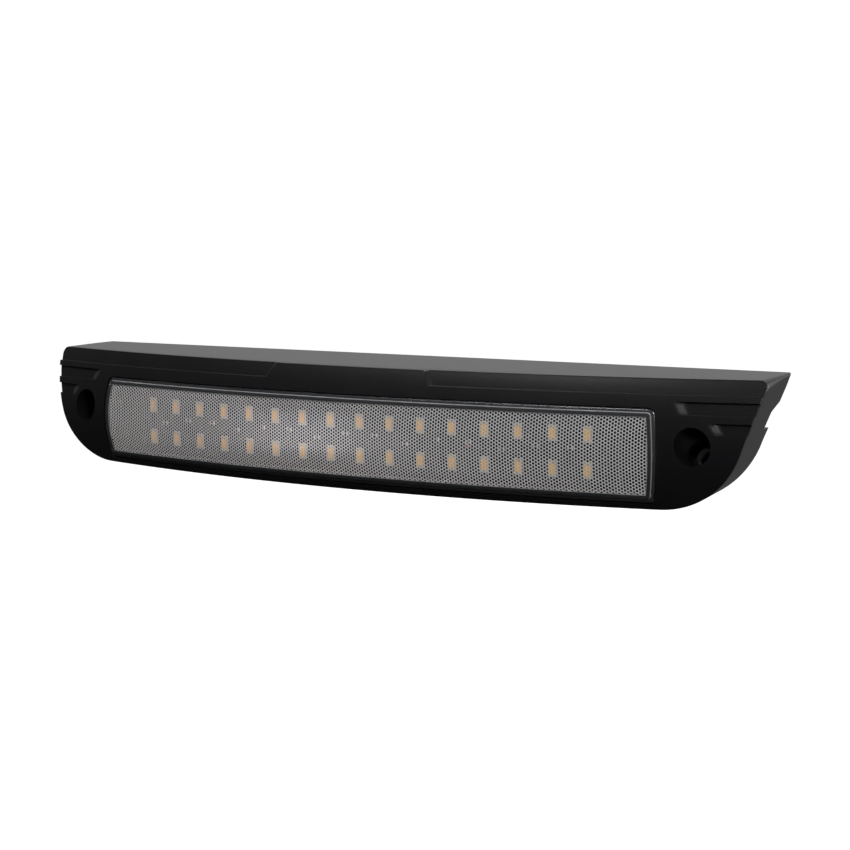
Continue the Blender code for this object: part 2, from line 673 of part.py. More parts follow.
def build_gasket(material):
    """A foam sheet with windows for everything that stands out of the cover."""
    gasket = body_layer("mounting_gasket", WALL + GASKET_INSET, -COVER_RECESS + GAP, 0.0)
    deep = -COVER_RECESS - 1 * MM
    for side in (-1, 1):
        reach = NECK_RADIUS + SLEEVE_WALL + 2 * GAP
        start = screw_start(side) + MOUNT_NORMAL * (screw_run(side) - 8 * MM)
        combine(gasket, rod("Window", reach, start, MOUNT_NORMAL, 16 * MM, 24), "DIFFERENCE")
    for x, up in cover_screw_places():
        window = rod("Window", HEAD_RADIUS + 2 * GAP, on_mount(x, up, deep), MOUNT_NORMAL, 8 * MM, 16)
        combine(gasket, window, "DIFFERENCE")
    margin = 2 * (SOCKET_FLANGE + 2 * GAP)
    size = (SOCKET_OUTER[0] + margin, SOCKET_OUTER[1] + margin)
    combine(gasket, mount_box("Window", SOCKET_X, 0.0, size, deep, 3 * MM), "DIFFERENCE")
    start = on_mount(VENT_X, 0.0, deep)
    window = rod("Window", VENT_CAP_RADIUS + 2 * GAP, start, MOUNT_NORMAL, 8 * MM, 24)
    combine(gasket, window, "DIFFERENCE")
    return finish(gasket, material)


def socket_floor():
    return -COVER_RECESS - SOCKET_DEPTH


def build_socket(body_material, pin_material):
    """An open two-pin socket that hangs in the cover by its flange, and its two blades."""
    rear = -COVER_RECESS + GAP + FLANGE_THICKNESS
    socket = mount_box("connector_socket", SOCKET_X, 0.0, SOCKET_OUTER, socket_floor(), rear)
    flange_size = tuple(side + 2 * SOCKET_FLANGE for side in SOCKET_OUTER)
    flange = mount_box("Flange", SOCKET_X, 0.0, flange_size, -COVER_RECESS + GAP, rear)
    combine(socket, flange, "UNION")
    space = tuple(side - 2 * SOCKET_WALL for side in SOCKET_OUTER)
    inside = mount_box("Inside", SOCKET_X, 0.0, space, socket_floor() + SOCKET_WALL, 3 * MM)
    combine(socket, inside, "DIFFERENCE")
    for index, side in enumerate((-1, 1)):
        x = SOCKET_X + side * PIN_SPACING / 2
        start = socket_floor() - 2 * MM
        slot = tuple(width + 2 * GAP for width in PIN_SIZE)
        combine(socket, mount_box("Slot", x, 0.0, slot, start, start + FAR / 8), "DIFFERENCE")
        pin = mount_box(f"terminal_pin_{index + 1}", x, 0.0, PIN_SIZE, start, start + PIN_LENGTH)
        finish(pin, pin_material)
    return finish(socket, body_material)


def build_vent(material):
    """A mushroom-shaped plug with a small breathing hole."""
    rear = -COVER_RECESS + GAP
    stem_start = on_mount(VENT_X, 0.0, COVER_FRONT - 1.5 * MM)
    vent = rod("breather_vent", VENT_RADIUS, stem_start, MOUNT_NORMAL, COVER_THICKNESS + 2.5 * MM, 20)
    cap = rod("Cap", VENT_CAP_RADIUS, on_mount(VENT_X, 0.0, rear), MOUNT_NORMAL, VENT_CAP_HEIGHT, 24)
    combine(vent, cap, "UNION")
    hole_start = on_mount(VENT_X, 0.0, COVER_FRONT - 3 * MM)
    combine(vent, rod("Hole", 1.2 * MM, hole_start, MOUNT_NORMAL, 12 * MM, 12), "DIFFERENCE")
    return finish(vent, material)


def lead_columns():
    """Where the two leads leave the board."""
    return [SOCKET_X + side * PIN_SPACING / 2 for side in (-1, 1)]


def lead_hole(x):
    start = (x, -FACE_DEPTH, LENS_MIDDLE)
    return rod("Hole", LEAD_RADIUS + GAP, start, (0, 1, 0), FACE_DEPTH, 12)


def build_leads(materials):
    """Two short insulated wires from the board to the socket's blades, each one smooth curve."""
    for name, x, material in zip(("lead_red", "lead_black"), lead_columns(), materials):
        root = Vector((x, float(bowed_y(x, BOARD_FRONT)) + GAP, LENS_MIDDLE))
        start = Vector((x, float(bowed_y(x, CARRIER_FRONT + CARRIER_THICKNESS)), LENS_MIDDLE))
        end = on_mount(x, 0.0, socket_floor() - 2 * MM - GAP)
        reach = (end - start).length * 0.45
        first = start + Vector((0, reach, 0))
        second = end - MOUNT_NORMAL * reach
        curve = bpy.data.curves.new(name, "CURVE")
        curve.dimensions = "3D"
        curve.bevel_depth = LEAD_RADIUS
        curve.bevel_resolution = 2
        curve.use_fill_caps = True
        spline = curve.splines.new("POLY")
        steps = 12
        spline.points.add(steps + 1)
        spline.points[0].co = (*root, 1.0)
        for index in range(steps + 1):
            t = index / steps
            point = (1 - t) ** 3 * start + 3 * t * (1 - t) ** 2 * first
            point += 3 * t * t * (1 - t) * second + t**3 * end
            spline.points[index + 1].co = (*point, 1.0)
        lead = bpy.data.objects.new(name, curve)
        curve.materials.append(material)
        bpy.context.collection.objects.link(lead)


def build_lamp():
    clear_scene()
    black = make_material("textured_black", (0.018, 0.018, 0.019), 0.55)
    build_housing(black)
    build_lens(make_material("clear_lens", (0.92, 0.93, 0.94), 0.08, 0.0, 0.9))
    build_lens_seal(make_material("sealant", (0.03, 0.03, 0.03), 0.5))
    dark_board = make_material("board_dark", (0.03, 0.032, 0.035), 0.45)
    build_board(dark_board, make_material("pad_grey", (0.35, 0.37, 0.40), 0.7))
    build_leds(make_material("led_package", (0.85, 0.62, 0.22), 0.35))
    build_carrier(make_material("anodised_aluminium", (0.03, 0.03, 0.03), 0.45, 0.0))
    build_screws(make_material("screw_steel", (0.45, 0.45, 0.46), 0.35, 1.0))
    build_cover(make_material("cover_black", (0.02, 0.02, 0.02), 0.6))
    build_gasket(make_material("foam", (0.035, 0.035, 0.035), 0.9))
    pin_material = make_material("tinned_brass", (0.70, 0.66, 0.52), 0.3, 1.0)
    build_socket(make_material("socket_black", (0.025, 0.025, 0.028), 0.45), pin_material)
    build_vent(make_material("vent_grey", (0.20, 0.21, 0.22), 0.5))
    insulation = [make_material("wire_red", (0.45, 0.02, 0.02), 0.4),
                  make_material("wire_black", (0.02, 0.02, 0.02), 0.4)]
    build_leads(insulation)


build_lamp()
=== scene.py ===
import math

import bmesh
import bpy
import numpy as np
from mathutils import Matrix, Vector


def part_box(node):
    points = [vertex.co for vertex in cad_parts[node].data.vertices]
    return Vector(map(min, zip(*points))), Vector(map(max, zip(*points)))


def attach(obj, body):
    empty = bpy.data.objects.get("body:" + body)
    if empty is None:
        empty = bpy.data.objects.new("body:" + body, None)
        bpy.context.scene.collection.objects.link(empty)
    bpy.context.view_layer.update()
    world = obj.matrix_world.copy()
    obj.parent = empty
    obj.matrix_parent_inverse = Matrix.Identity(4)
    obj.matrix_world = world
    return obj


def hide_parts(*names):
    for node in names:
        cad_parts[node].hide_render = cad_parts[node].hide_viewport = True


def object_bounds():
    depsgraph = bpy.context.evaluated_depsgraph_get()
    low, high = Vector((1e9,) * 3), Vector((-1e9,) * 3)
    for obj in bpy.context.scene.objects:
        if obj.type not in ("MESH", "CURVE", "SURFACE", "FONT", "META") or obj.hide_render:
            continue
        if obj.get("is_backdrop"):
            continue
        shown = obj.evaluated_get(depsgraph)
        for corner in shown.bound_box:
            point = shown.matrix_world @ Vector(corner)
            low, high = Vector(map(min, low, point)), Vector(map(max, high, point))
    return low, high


# Frame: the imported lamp, in metres, with its mounting face at the origin.
# Everything below is placed in this frame and rides on its one body.
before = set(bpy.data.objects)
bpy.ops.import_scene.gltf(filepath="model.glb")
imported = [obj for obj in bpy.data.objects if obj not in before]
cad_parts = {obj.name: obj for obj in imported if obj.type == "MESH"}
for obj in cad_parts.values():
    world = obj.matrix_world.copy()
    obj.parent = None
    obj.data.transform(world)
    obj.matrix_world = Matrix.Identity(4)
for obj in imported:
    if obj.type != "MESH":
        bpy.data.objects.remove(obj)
cad_low, cad_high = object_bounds()
MM = 0.001
BODY = "root"

# Camera: a long lens, to the right of the lamp and a little above it, as for a catalogue plate.
# It stands back from the lamp, because a close lens would stretch the near end of so long a part.
FOCAL_LENGTH = 79.34
LOOK = Vector((-0.52061793, 0.84359113, -0.13157118))
RISE = Vector((-0.05854196, 0.11846898, 0.99123052))
camera_data = bpy.data.cameras.new("plate_camera")
camera_data.lens = FOCAL_LENGTH
camera_data.sensor_width = 36.0
camera_data.clip_start = 0.01
camera_data.clip_end = 100.0
camera = bpy.data.objects.new("plate_camera", camera_data)
camera.matrix_world = Matrix.Translation((0.37422, -0.58994, 0.08857)) @ Matrix(
    (LOOK.cross(RISE), RISE, -LOOK)
).transposed().to_4x4()
bpy.context.scene.collection.objects.link(camera)
bpy.context.scene.camera = camera

# Studio: a wide white floor well below the lamp, a white surround behind and above it,
# a dim room in front of it, two soft boxes, a narrow strip and a panel. None of it belongs to the lamp.
bpy.context.scene.view_settings.view_transform = "Standard"


class Finish:
    """A named material while it is being made, around one Principled shader."""

    def __init__(self, name, colour, roughness, **constants):
        self.material = bpy.data.materials.new(name)
        self.material.use_nodes = True
        self.tree = self.material.node_tree
        self.shader = self.tree.nodes["Principled BSDF"]
        self.shader.inputs["Base Color"].default_value = (*colour, 1.0)
        self.shader.inputs["Roughness"].default_value = roughness
        for socket, value in constants.items():
            self.shader.inputs[socket.replace("_", " ")].default_value = value

    def node(self, kind, settings=None, sockets=None, output=0):
        """Adds a node: its settings first, then the values or links of its sockets."""
        added = self.tree.nodes.new("ShaderNode" + kind)
        for key, value in (settings or {}).items():
            setattr(added, key, value)
        for key, value in (sockets or {}).items():
            self.join(value, added.inputs[key])
        return Value(self, added.outputs[output])

    def join(self, value, socket):
        if isinstance(value, Value):
            self.tree.links.new(value.socket, socket)
        else:
            socket.default_value = value

    def feed(self, name, value):
        self.join(value, self.shader.inputs[name])

    def place(self, scale=1.0):
        """Object coordinates in millimetres, times a scale."""
        point = self.node("TexCoord", output=3)
        grown = (1000.0 * scale,) * 3 if isinstance(scale, float) else tuple(1000.0 * s for s in scale)
        return self.node("Mapping", None, {"Vector": point, "Scale": grown})

    def noise(self, size, detail=3.0, place=None):
        """Noise from 0 to 1 whose grains are about this many millimetres across."""
        where = place or self.place()
        return self.node("TexNoise", None, {"Vector": where, "Scale": 1.0 / size, "Detail": detail})

    def tint(self, dark, light, share):
        """A colour between two, by a share from 0 to 1."""
        return self.node("Mix", {"data_type": "RGBA"},
                         {0: share, 6: (*dark, 1.0), 7: (*light, 1.0)}, output=2)

    def relief(self, height, depth):
        """Feeds a bump of this depth in millimetres from a height of 0 to 1."""
        bump = self.node("Bump", None, {"Height": height, "Distance": depth * MM, "Strength": 1.0})
        self.feed("Normal", bump)


class Value:
    """A socket in a finish, on which + - * / and ** build Math nodes."""

    def __init__(self, finish, socket):
        self.finish = finish
        self.socket = socket

    def math(self, operation, first, second):
        return self.finish.node("Math", {"operation": operation}, {0: first, 1: second})

    def __add__(self, other):
        return self.math("ADD", self, other)

    def __sub__(self, other):
        return self.math("SUBTRACT", self, other)

    def __mul__(self, other):
        return self.math("MULTIPLY", self, other)

    def __truediv__(self, other):
        return self.math("DIVIDE", self, other)

    def __pow__(self, other):
        return self.math("POWER", self, other)

    def __rsub__(self, other):
        return self.math("SUBTRACT", other, self)

    __radd__ = __add__
    __rmul__ = __mul__


def mesh_object(name, points, faces, kinds=None):
    """An object from an array of points and a list of faces, with a material index for each face."""
    mesh = bpy.data.meshes.new(name)
    mesh.from_pydata(points.tolist(), [], faces)
    if kinds is not None:
        mesh.polygons.foreach_set("material_index", np.asarray(kinds, np.int32))
    mesh.update()
    item = bpy.data.objects.new(name, mesh)
    bpy.context.scene.collection.objects.link(item)
    return item


FLOOR_DROP = 0.45
FLOOR_HALF = 30.0
floor_corners = np.array([(-1, -1, 0), (1, -1, 0), (1, 1, 0), (-1, 1, 0)], float) * FLOOR_HALF
floor = mesh_object("floor", floor_corners + (0, 0, cad_low.z - FLOOR_DROP), [(0, 1, 2, 3)])
paper = Finish("white_paper", (0.93, 0.93, 0.93), 0.9)
paper.feed("Base Color", paper.tint((0.92, 0.92, 0.92), (0.94, 0.94, 0.94), paper.noise(4.0)))
paper.feed("Emission Color", (1.0, 1.0, 1.0, 1.0))
paper.shader.inputs["Emission Strength"].default_value = 0.75
floor.data.materials.append(paper.material)
floor.visible_diffuse = False
floor.visible_glossy = False
floor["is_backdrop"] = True

world = bpy.data.worlds.new("studio")
world.use_nodes = True
bpy.context.scene.world = world
sky = world.node_tree
sky.nodes.clear()
direction = sky.nodes.new("ShaderNodeTexCoord").outputs["Generated"]
split = sky.nodes.new("ShaderNodeSeparateXYZ")
sky.links.new(direction, split.inputs[0])


def surround_ramp(axis, stops):
    """Brightness of the surround along one axis of direction, from -1 to 1."""
    ranged = sky.nodes.new("ShaderNodeMapRange")
    ranged.inputs["From Min"].default_value = -1.0
    sky.links.new(split.outputs[axis], ranged.inputs["Value"])
    ramp = sky.nodes.new("ShaderNodeValToRGB")
    elements = ramp.color_ramp.elements
    while len(elements) < len(stops):
        elements.new(0.5)
    for element, (position, level) in zip(elements, stops):
        element.position = position
        element.color = (level, level, level, 1.0)
    sky.links.new(ranged.outputs[0], ramp.inputs[0])
    return ramp.outputs[0]


depth_light = surround_ramp("Y", ((0.0, 0.04), (0.46, 0.07), (0.62, 0.5), (1.0, 0.42)))
height_light = surround_ramp("Z", ((0.0, 0.15), (0.42, 0.4), (0.5, 1.0), (1.0, 1.0)))
room = sky.nodes.new("ShaderNodeMix")
room.data_type = "RGBA"
room.blend_type = "MULTIPLY"
room.inputs[0].default_value = 1.0
sky.links.new(depth_light, room.inputs[6])
sky.links.new(height_light, room.inputs[7])
lit = sky.nodes.new("ShaderNodeBackground")
sky.links.new(room.outputs[2], lit.inputs["Color"])
SURROUND_STRENGTH = 1.1
lit.inputs["Strength"].default_value = SURROUND_STRENGTH
plain = sky.nodes.new("ShaderNodeBackground")
plain.inputs["Color"].default_value = (1.0, 1.0, 1.0, 1.0)
plain.inputs["Strength"].default_value = SURROUND_STRENGTH
path = sky.nodes.new("ShaderNodeLightPath")
chosen = sky.nodes.new("ShaderNodeMixShader")
sky.links.new(path.outputs["Is Camera Ray"], chosen.inputs[0])
sky.links.new(lit.outputs[0], chosen.inputs[1])
sky.links.new(plain.outputs[0], chosen.inputs[2])
sky.links.new(chosen.outputs[0], sky.nodes.new("ShaderNodeOutputWorld").inputs[0])

for name, place, size, power in (
    ("front_soft_box", (-0.55, -0.7, 1.35), (1.2, 0.5), 13.0),
    ("top_soft_box", (0.1, 0.7, 1.3), (1.8, 0.9), 24.0),
    ("side_strip", (1.0, -0.95, 1.0), (0.22, 0.65), 16.0),
    ("back_panel", (1.3, 1.0, 0.2), (0.8, 0.8), 26.0),
):
    light = bpy.data.lights.new(name, "AREA")
    light.shape = "RECTANGLE"
    light.size, light.size_y = size
    light.energy = power
    holder = bpy.data.objects.new(name, light)
    holder.location = place
    holder.rotation_euler = (-Vector(place)).to_track_quat("-Z", "Y").to_euler()
    bpy.context.scene.collection.objects.link(holder)

# Housing: one black ABS moulding with a spark-eroded skin. Its long face bows from end to end and
# crowns from top to bottom; shallow bands flank a raised centre panel and two stepped grooves run
# out of each end. Two counterbored sleeves take the mounting screws, and posts take the others.
GAP = 0.3 * MM
TOP_Z = 21.6 * MM
BOTTOM_Z = -21.6 * MM
TOP_HALF = 153.04 * MM
FACE_DEPTH = 43.02 * MM
MOUNT_TILT = math.radians(24.0)
BOW_RADIUS = 664.0 * MM
CROWN_RADIUS = 48.5 * MM
CROWN_MIDDLE = -4.025 * MM
END_SWEEP = 0.9 * MM
SIDE_LEAN = math.radians(18.5)
TOP_CORNER = 2.6 * MM
BOTTOM_CORNER = 28.0 * MM
SIDE_DRAFT = 0.10
BOTTOM_DRAFT = 0.04
EDGE_ROUND = 0.45 * MM
WALL = 2.5 * MM
FRONT_WALL = 5.8 * MM
SKIRT_SETBACK = 0.5 * MM
BROW_STEP = 1.2 * MM
BROW_Z = 16.4 * MM
GROOVE_STEP = 0.9 * MM
RAMP = 1.5 * MM
# Each groove: its upper and lower level, and where its inner line meets them.
GROOVES = ((14.2 * MM, 10.1 * MM, 124.0 * MM, 126.5 * MM), (7.5 * MM, 3.8 * MM, 135.8 * MM, 138.4 * MM))
PANEL_EDGE = (31.5 * MM, 34.9 * MM)
MOUNT_NORMAL = Vector((0.0, math.cos(MOUNT_TILT), -math.sin(MOUNT_TILT)))
FAR = 60.0 * MM


def face_y(x, z):
    """Face: a bow along X, a crown about the lens's middle line and a sweep towards the ends."""
    bow = x * x / (2 * BOW_RADIUS)
    crown = (z - CROWN_MIDDLE) ** 2 / (2 * CROWN_RADIUS)
    return bow + crown + END_SWEEP * (x / TOP_HALF) ** 6 - FACE_DEPTH


def tilted_y(z, offset):
    """Mounting plane, moved along its own normal by an offset."""
    return z * math.tan(MOUNT_TILT) + offset / math.cos(MOUNT_TILT)


# Rows of the face: the upper corner's arc, levels on the straight side, and the lower corner's arc.
TOP_ARC_ROWS = 7
LOW_ARC_ROWS = 25
lean_turn = -math.degrees(SIDE_LEAN)
side_levels = np.array([17.2, 16.4, 16.28, 15.3, 14.32, 14.2, 13.2, 12.15, 11.1, 10.1, 9.98, 9.1, 8.4,
                        7.62, 7.5, 6.3, 5.0, 3.8, 3.68, 2.6, 1.3, 0.0, -1.2]) * MM
top_turns = np.radians(np.linspace(90.0, lean_turn, TOP_ARC_ROWS))
low_turns = np.radians(np.linspace(lean_turn, -90.0, LOW_ARC_ROWS))
LOWER_ARC_START = TOP_ARC_ROWS + len(side_levels)
row_top = np.concatenate([top_turns, np.full(len(side_levels) + LOW_ARC_ROWS, top_turns[-1])])
row_low = np.concatenate([np.full(LOWER_ARC_START, low_turns[0]), low_turns])
row_level = np.concatenate([np.full(TOP_ARC_ROWS, np.nan), side_levels, np.full(LOW_ARC_ROWS, np.nan)])
row_share = np.concatenate([np.zeros(LOWER_ARC_START), np.ones(LOW_ARC_ROWS)])
ROWS = len(row_top)


def outline_x_z(row, side, low, top):
    """Outline of the lamp by row: an upper corner arc, a leaning side and a large lower corner arc.

    Each row is a point on one of the arcs, or a level on the straight side between them.
    The three insets move the sides, the bottom and the top inwards."""
    lean, cosine = math.tan(SIDE_LEAN), math.cos(SIDE_LEAN)
    small = np.maximum(TOP_CORNER - side, 0.8 * MM)
    large = BOTTOM_CORNER - side
    small_z = TOP_Z - top - small
    large_z = BOTTOM_Z + low + large
    small_x = TOP_HALF - (TOP_Z - small_z) * lean - side / cosine - small / cosine
    large_x = TOP_HALF - (TOP_Z - large_z) * lean - side / cosine - large / cosine
    upper_x = small_x + small * np.cos(row_top[row])
    upper_z = small_z + small * np.sin(row_top[row])
    lower_x = large_x + large * np.cos(row_low[row])
    lower_z = large_z + large * np.sin(row_low[row])
    level = row_level[row]
    along = (upper_z - np.nan_to_num(level)) / (upper_z - lower_z)
    share = np.where(np.isnan(level), row_share[row], along)
    return upper_x + share * (lower_x - upper_x), upper_z + share * (lower_z - upper_z)


def border(grid):
    """The outer loop of a grid's values: along the top, down the right, back along the bottom and up."""
    return np.concatenate([grid[0], grid[1:, -1], grid[-1, -2::-1], grid[-2:0:-1, 0]])


def grid_faces(rows, columns, base=0, flip=False):
    """Quads of a grid of points, counted row by row from a base index."""
    corner = base + (np.arange(rows - 1)[:, None] * columns + np.arange(columns - 1)).ravel()
    quads = np.stack([corner, corner + columns, corner + columns + 1, corner + 1], axis=1)
    return (quads[:, ::-1] if flip else quads).tolist()


def band_faces(first, second):
    """Quads between two closed loops of point indices."""
    return np.stack([first, np.roll(first, -1), np.roll(second, -1), second], axis=1).tolist()


def stack(x, y, z):
    return np.stack([x, np.broadcast_to(y, x.shape), z], axis=-1).reshape(-1, 3)


def outward(item):
    """Turns a closed mesh's faces outwards."""
    shell = bmesh.new()
    shell.from_mesh(item.data)
    bmesh.ops.recalc_face_normals(shell, faces=shell.faces)
    shell.to_mesh(item.data)
    shell.free()
    return item


def drop_slivers(item):
    """Removes edges far shorter than any real detail."""
    shell = bmesh.new()
    shell.from_mesh(item.data)
    bmesh.ops.dissolve_degenerate(shell, dist=0.02 * MM, edges=shell.edges)
    shell.to_mesh(item.data)
    shell.free()


def smooth(item, angle=30.0):
    item.data.shade_smooth()
    item.data.set_sharp_from_angle(angle=math.radians(angle))


def combine(target, tool, operation):
    """Applies one exact Boolean and removes the tool."""
    cut = target.modifiers.new("cut", "BOOLEAN")
    cut.solver = "EXACT"
    cut.operation = operation
    cut.object = tool
    graph = bpy.context.evaluated_depsgraph_get()
    mesh = bpy.data.meshes.new_from_object(target.evaluated_get(graph))
    target.modifiers.clear()
    target.data = mesh
    bpy.data.objects.remove(tool, do_unlink=True)


def slab(name, x, z, front, back):
    """Closed solid between two surfaces over one grid of X and Z."""
    rows, columns = x.shape
    count = rows * columns
    loop = border(np.arange(count).reshape(rows, columns))
    faces = grid_faces(rows, columns) + grid_faces(rows, columns, count, True)
    faces += band_faces(loop + count, loop)
    return outward(mesh_object(name, np.concatenate([stack(x, front, z), stack(x, back, z)]), faces))


def bars(name, specs, segments):
    """Round bars, each from a start along an axis: rings of points at its two ends, capped."""
    turn = 2 * math.pi * np.arange(segments) / segments
    points, faces = [], []
    for radius, start, axis, length in specs:
        basis = np.array(Vector(axis).to_track_quat("Z", "Y").to_matrix())
        ring = np.stack([radius * np.cos(turn), radius * np.sin(turn), np.zeros(segments)], axis=1)
        first = len(points) * segments
        for height in (0.0, length):
            points.append((ring + (0, 0, height)) @ basis.T + np.array(start))
        near = first + np.arange(segments)
        faces += band_faces(near + segments, near)
        faces += [near[::-1].tolist(), (near + segments).tolist()]
    return outward(mesh_object(name, np.concatenate(points), faces))


# Columns of the face: even steps between lines that follow the panel's edge and the grooves' inner ends.
start_y = face_y(TOP_HALF, TOP_Z)
side_row = np.arange(ROWS)


def draft_outline(row, y_side, y_own, inset):
    """Outline at a depth, with the draft of the sides and the bottom and an even inset."""
    side = SIDE_DRAFT * (y_side - start_y) + inset
    low = BOTTOM_DRAFT * (y_own - start_y) + inset
    return outline_x_z(row, side, low, inset)


def settle(row, share, anchor, inset, lift):
    """Points of an outline that lie on the face moved back by a lift, found by repeated substitution."""
    y = np.full(len(row), -0.03)
    for _ in range(12):
        x, z = draft_outline(row, y[anchor], y, inset)
        y = face_y(share * x, z) + lift
    return share * x, y, z


edge_x, _, edge_z = settle(side_row, np.ones(ROWS), side_row, EDGE_ROUND, np.zeros(ROWS))


def control_line(high, low, x_high, x_low):
    """Share of the half width that a slanted line takes in each row, held above and below its ends."""
    level = np.clip(edge_z, low, high)
    width = np.interp(level, edge_z[::-1], edge_x[::-1])
    return (x_high + (x_low - x_high) * (high - level) / (high - low)) / width


lines = [np.zeros(ROWS)]
for high, low, x_high, x_low in ((TOP_Z, BROW_Z, *PANEL_EDGE), *GROOVES):
    inner = control_line(high, low, x_high, x_low)
    lines += [inner, inner + RAMP / edge_x]
lines = np.stack(lines + [np.ones(ROWS)], axis=1)
# Steps from the middle to each line in turn: panel, its ramp, brow, ramp, groove, ramp, groove.
STEPS = np.array((16, 1, 46, 1, 6, 1, 6))
step_ends = np.cumsum(STEPS)
segment = np.repeat(np.arange(len(STEPS)), STEPS)
within = np.concatenate([np.arange(n) / n for n in STEPS])
half_share = lines[:, segment] * (1 - within) + lines[:, segment + 1] * within
half_share = np.concatenate([half_share, np.ones((ROWS, 1))], axis=1)
share = np.concatenate([-half_share[:, :0:-1], half_share], axis=1)
COLUMNS = share.shape[1]
column = np.abs(np.arange(COLUMNS) - COLUMNS // 2)
lift = np.zeros((ROWS, COLUMNS))
LEVEL_TOLERANCE = 1e-6
lift[np.ix_(edge_z >= BROW_Z - LEVEL_TOLERANCE, column >= step_ends[1])] = BROW_STEP
for (high, low, _, _), reach in zip(GROOVES, step_ends[3::2]):
    rows_in = (edge_z <= high + LEVEL_TOLERANCE) & (edge_z >= low - LEVEL_TOLERANCE)
    lift[np.ix_(rows_in, column >= reach)] = GROOVE_STEP
loop_row = border(np.broadcast_to(side_row[:, None], share.shape))
loop_share = border(share)
loop_lift = border(lift)
loop_anchor = np.arange(len(loop_row))
loop_anchor[:COLUMNS] = COLUMNS - 1
loop_anchor[COLUMNS + ROWS - 2:2 * COLUMNS + ROWS - 2] = COLUMNS + ROWS - 2


def face_grid(inset, lift_grid, loop_lift_values):
    """Grid over the face whose border is the settled outline; the lower rows bend to the bottom edge."""
    x_loop, y_loop, z_loop = settle(loop_row, loop_share, loop_anchor, inset, loop_lift_values)
    right = slice(COLUMNS - 1, COLUMNS + ROWS - 1)
    bottom = slice(COLUMNS + ROWS - 2, 2 * COLUMNS + ROWS - 2)
    width, level = x_loop[right], z_loop[right]
    first = level[LOWER_ARC_START]
    bend = np.clip((level - first) / (level[-1] - first), 0, None) * (side_row > LOWER_ARC_START)
    x = share * width[:, None]
    z = level[:, None] + bend[:, None] * (z_loop[bottom][::-1] - level[-1])
    x[-1] = x_loop[bottom][::-1]
    x[0] = x_loop[:COLUMNS]
    return x, face_y(x, z) + lift_grid, z, (x_loop, y_loop, z_loop)


def body_shell(name):
    """The moulding's skin: face, rounded edge, side walls, rear edge and the inside."""
    x, y, z, (_, loop_y, _) = face_grid(EDGE_ROUND, lift, loop_lift)
    blocks, loops = [stack(x, y, z)], [border(np.arange(ROWS * COLUMNS).reshape(ROWS, COLUMNS))]
    used = ROWS * COLUMNS

    def add_loop(y_loop, inset):
        nonlocal used
        x_loop, z_loop = draft_outline(loop_row, y_loop[loop_anchor], y_loop, inset)
        blocks.append(np.stack([loop_share * x_loop, y_loop, z_loop], axis=1))
        loops.append(used + np.arange(len(loop_row)))
        used += len(loop_row)

    for turn in np.radians((25.0, 50.0, 75.0, 90.0)):
        add_loop(loop_y + EDGE_ROUND * (1 - math.cos(turn)), EDGE_ROUND * (1 - math.sin(turn)))
    front = loop_y + EDGE_ROUND
    level = blocks[-1][:, 2]
    rear = tilted_y(level, -SKIRT_SETBACK)
    for part in np.linspace(0, 1, 9)[1:]:
        add_loop(front + part * (rear - front), 0.0)
    *inner, (_, inner_y, inner_z) = face_grid(
        WALL, np.full_like(lift, FRONT_WALL), np.full_like(loop_lift, FRONT_WALL))
    for part in np.linspace(1, 0, 5)[:-1]:
        add_loop(inner_y + part * (tilted_y(inner_z, -SKIRT_SETBACK) - inner_y), WALL)
    blocks.append(stack(*inner))
    loops.append(used + border(np.arange(ROWS * COLUMNS).reshape(ROWS, COLUMNS)))
    faces = grid_faces(ROWS, COLUMNS) + grid_faces(ROWS, COLUMNS, used, True)
    for first, second in zip(loops, loops[1:]):
        faces += band_faces(second, first)
    return outward(mesh_object(name, np.concatenate(blocks), faces))


CORE_SHARE = 0.7


def core():
    """Straight-sided solid that ends inside the front wall and the side walls."""
    level_y = np.zeros(ROWS)
    width, level = draft_outline(side_row, level_y, level_y, WALL / 2)
    x = width[:, None] * np.linspace(-1, 1, 61)
    z = np.broadcast_to(level[:, None], x.shape)
    return slab("core", x, z, face_y(x, z) + CORE_SHARE * FRONT_WALL, FAR)


# Lens seat: rows and columns of the lens's own outline, used for the rebate, the window and the lens.
LENS_HALF = 118.8 * MM
LENS_TOP = 11.8 * MM
LENS_BOTTOM = -19.85 * MM
LENS_CORNER = 2.6 * MM
LENS_BULGE = 1.2 * MM
LENS_LEDGE = 2.6 * MM
LENS_THICKNESS = 2.0 * MM
REBATE = 3.6 * MM
WINDOW_BACK = -16.0 * MM


def lens_grid(inset, columns=97):
    """Grid over the lens's outline: corner arcs joined by ends that bulge by a parabola."""
    radius = max(LENS_CORNER - inset, 0.4 * MM)
    top, bottom = LENS_TOP - inset, LENS_BOTTOM + inset
    corner = LENS_HALF - LENS_BULGE - inset - radius
    turn = np.linspace(math.pi / 2, 0, 7)
    side = np.linspace(0, 1, 13)[1:-1]
    x = np.concatenate([corner + radius * np.cos(turn),
                        corner + radius + LENS_BULGE * 4 * side * (1 - side),
                        corner + radius * np.cos(turn[::-1])])
    z = np.concatenate([top - radius + radius * np.sin(turn),
                        top - radius + side * (bottom - top + 2 * radius),
                        bottom + radius - radius * np.sin(turn[::-1])])
    return x[:, None] * np.linspace(-1, 1, columns), np.broadcast_to(z[:, None], (len(z), columns))


